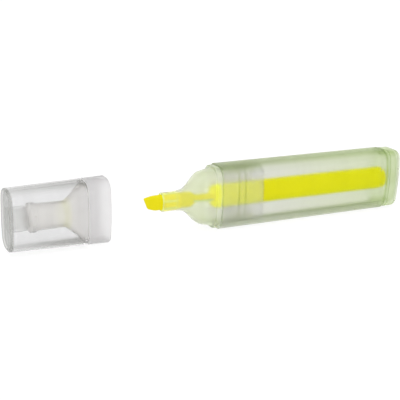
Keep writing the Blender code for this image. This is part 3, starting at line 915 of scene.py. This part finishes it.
def area_light(name, place, target, size, power):
    data = bpy.data.lights.new(name, "AREA")
    data.shape = "SQUARE"
    data.size = size
    data.energy = power
    lamp = bpy.data.objects.new(name, data)
    lamp.location = place
    direction = Vector(target) - Vector(place)
    lamp.rotation_euler = direction.to_track_quat("-Z", "Y").to_euler()
    bpy.context.scene.collection.objects.link(lamp)


def make_lights():
    world = bpy.data.worlds.new("studio")
    world.use_nodes = True
    background = world.node_tree.nodes["Background"]
    background.inputs["Color"].default_value = WHITE
    background.inputs["Strength"].default_value = WORLD_GLOW
    bpy.context.scene.world = world
    area_light("key", KEY_PLACE, (0.0, 0.0, AXIS_Z), KEY_SIZE, KEY_POWER)


def make_camera():
    """A long lens, a little above and to the cap's side of the pen, rolled by a degree or two."""
    level = cos(CAMERA_LIFT)
    back = Vector((sin(CAMERA_TURN) * level, -cos(CAMERA_TURN) * level, sin(CAMERA_LIFT)))
    right = Vector((cos(CAMERA_TURN), sin(CAMERA_TURN), 0.0))
    up = back.cross(right)
    rolled_right = right * cos(CAMERA_ROLL) + up * sin(CAMERA_ROLL)
    rolled_up = up * cos(CAMERA_ROLL) - right * sin(CAMERA_ROLL)
    data = bpy.data.cameras.new("camera")
    data.sensor_width = SENSOR_WIDTH
    data.lens = LENS
    data.clip_start = 0.01
    camera = bpy.data.objects.new("camera", data)
    place = CAMERA_TARGET + back * CAMERA_DISTANCE
    axes = Matrix((rolled_right, rolled_up, back)).transposed().to_4x4()
    camera.matrix_world = Matrix.Translation(place) @ axes
    bpy.context.scene.collection.objects.link(camera)
    bpy.context.scene.camera = camera


# ---------------------------------------------------------------- assembly


def put(piece, body, node):
    """The piece moves with the body and stands for the CAD node."""
    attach(piece, body)
    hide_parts(node)


def make_looks():
    """The materials of the pieces, by short names."""
    looks = {
        "barrel": plastic(
            "hazy_barrel", (0.84, 0.85, 0.80), roughness=0.38, ior=1.15, clearness=1.0, zones=BARREL_PAINTED_SHADING
        ),
        "plug": plastic(
            "green_tinted_plug",
            (0.785, 0.84, 0.66),
            roughness=0.30,
            ior=1.15,
            clearness=1.0,
            zones=PLUG_ZONES,
            bands=PLUG_BANDS,
        ),
        "nose": plastic(
            "hazy_nose",
            (0.85, 0.88, 0.75),
            roughness=0.50,
            ior=1.15,
            clearness=(RIM_X, 0.95, 0.85),
            zones=NOSE_ZONES,
            bands=RIDGE_BANDS,
        ),
        "pale": plastic("pale_ribs", (0.84, 0.94, 0.54), roughness=0.50, ior=1.2, clearness=0.15),
        "shell": plastic(
            "clear_shell", (0.876, 0.876, 0.878), roughness=0.22, ior=1.10, clearness=1.0, zones=SHELL_PAINTED_SHADING
        ),
        "boss": plastic("cloudy_boss", (0.93, 0.93, 0.92), roughness=0.45, ior=1.08, clearness=0.97),
        "liner": plastic(
            "frosted_liner",
            (0.99, 0.98, 0.965),
            roughness=0.50,
            ior=1.2,
            clearness=0.88,
            zones=LINER_ZONES,
            bands=LINER_BANDS,
        ),
        "film": plastic("clear_film", (0.98, 0.985, 0.66), roughness=0.10, ior=1.03, clearness=1.0),
        "stop": plastic("clear_stop", (0.95, 0.97, 0.88), roughness=0.30, ior=1.05, clearness=1.0),
        # The ink and the felt carry a painted glow.
        "ink": fibre(
            "ink_fibre",
            (0.50, 0.46, 0.002),
            (0.44, 0.42, 0.001),
            glow=(0.80, 0.76, 0.0),
            strength=0.80,
            grain=2600.0,
            zones=ROD_GLOW_ZONES,
        ),
        "felt": fibre(
            "nib_felt",
            (0.30, 0.26, 0.002),
            (0.26, 0.23, 0.001),
            glow=(0.56, 0.50, 0.0),
            strength=0.90,
            grain=3400.0,
            zones=FELT_GLOW_ZONES,
        ),
    }
    looks["nose"].set(Coat_Weight=0.5, Coat_Roughness=0.25, Coat_IOR=1.5)
    # A faint painted glow on the pale ribs.
    looks["pale"].set(Emission_Color=(0.88, 1.0, 0.35, 1.0), Emission_Strength=0.06)
    # A faint painted glow lightens the liner.
    looks["liner"].set(Emission_Color=(1.0, 1.0, 0.97, 1.0), Emission_Strength=0.014)
    return looks


def main():
    looks = make_looks()
    put(make_barrel(looks["barrel"]), "pen", "barrel")
    put(make_rear_plug(looks["plug"]), "pen", "rear_plug")
    put(make_plug_stop(looks["stop"]), "pen", "rear_plug")
    put(make_front_section(looks["nose"]), "pen", "front_section")
    put(make_nozzle_splines(looks["pale"]), "pen", "front_section")
    put(make_nose_ribs(looks["pale"]), "pen", "front_section")
    put(make_nib(looks["felt"]), "pen", "nib")
    put(make_reservoir(looks["ink"]), "pen", "ink_reservoir")
    put(make_film(looks["film"]), "pen", "reservoir_film")
    put(make_cap_shell(looks["shell"]), "cap", "cap_shell")
    put(make_cap_boss(looks["boss"]), "cap", "cap_shell")
    put(make_cap_liner(looks["liner"]), "cap", "cap_liner")
    make_floor()
    make_lights()
    make_camera()
    bpy.context.scene.view_settings.view_transform = "Standard"
    let_light_through()


def let_light_through():
    """Enough bounces for a path to leave the nested see-through shells."""
    cycles = bpy.context.scene.cycles
    cycles.max_bounces = 64
    cycles.transmission_bounces = 64
    cycles.glossy_bounces = 24
    cycles.transparent_max_bounces = 32


main()
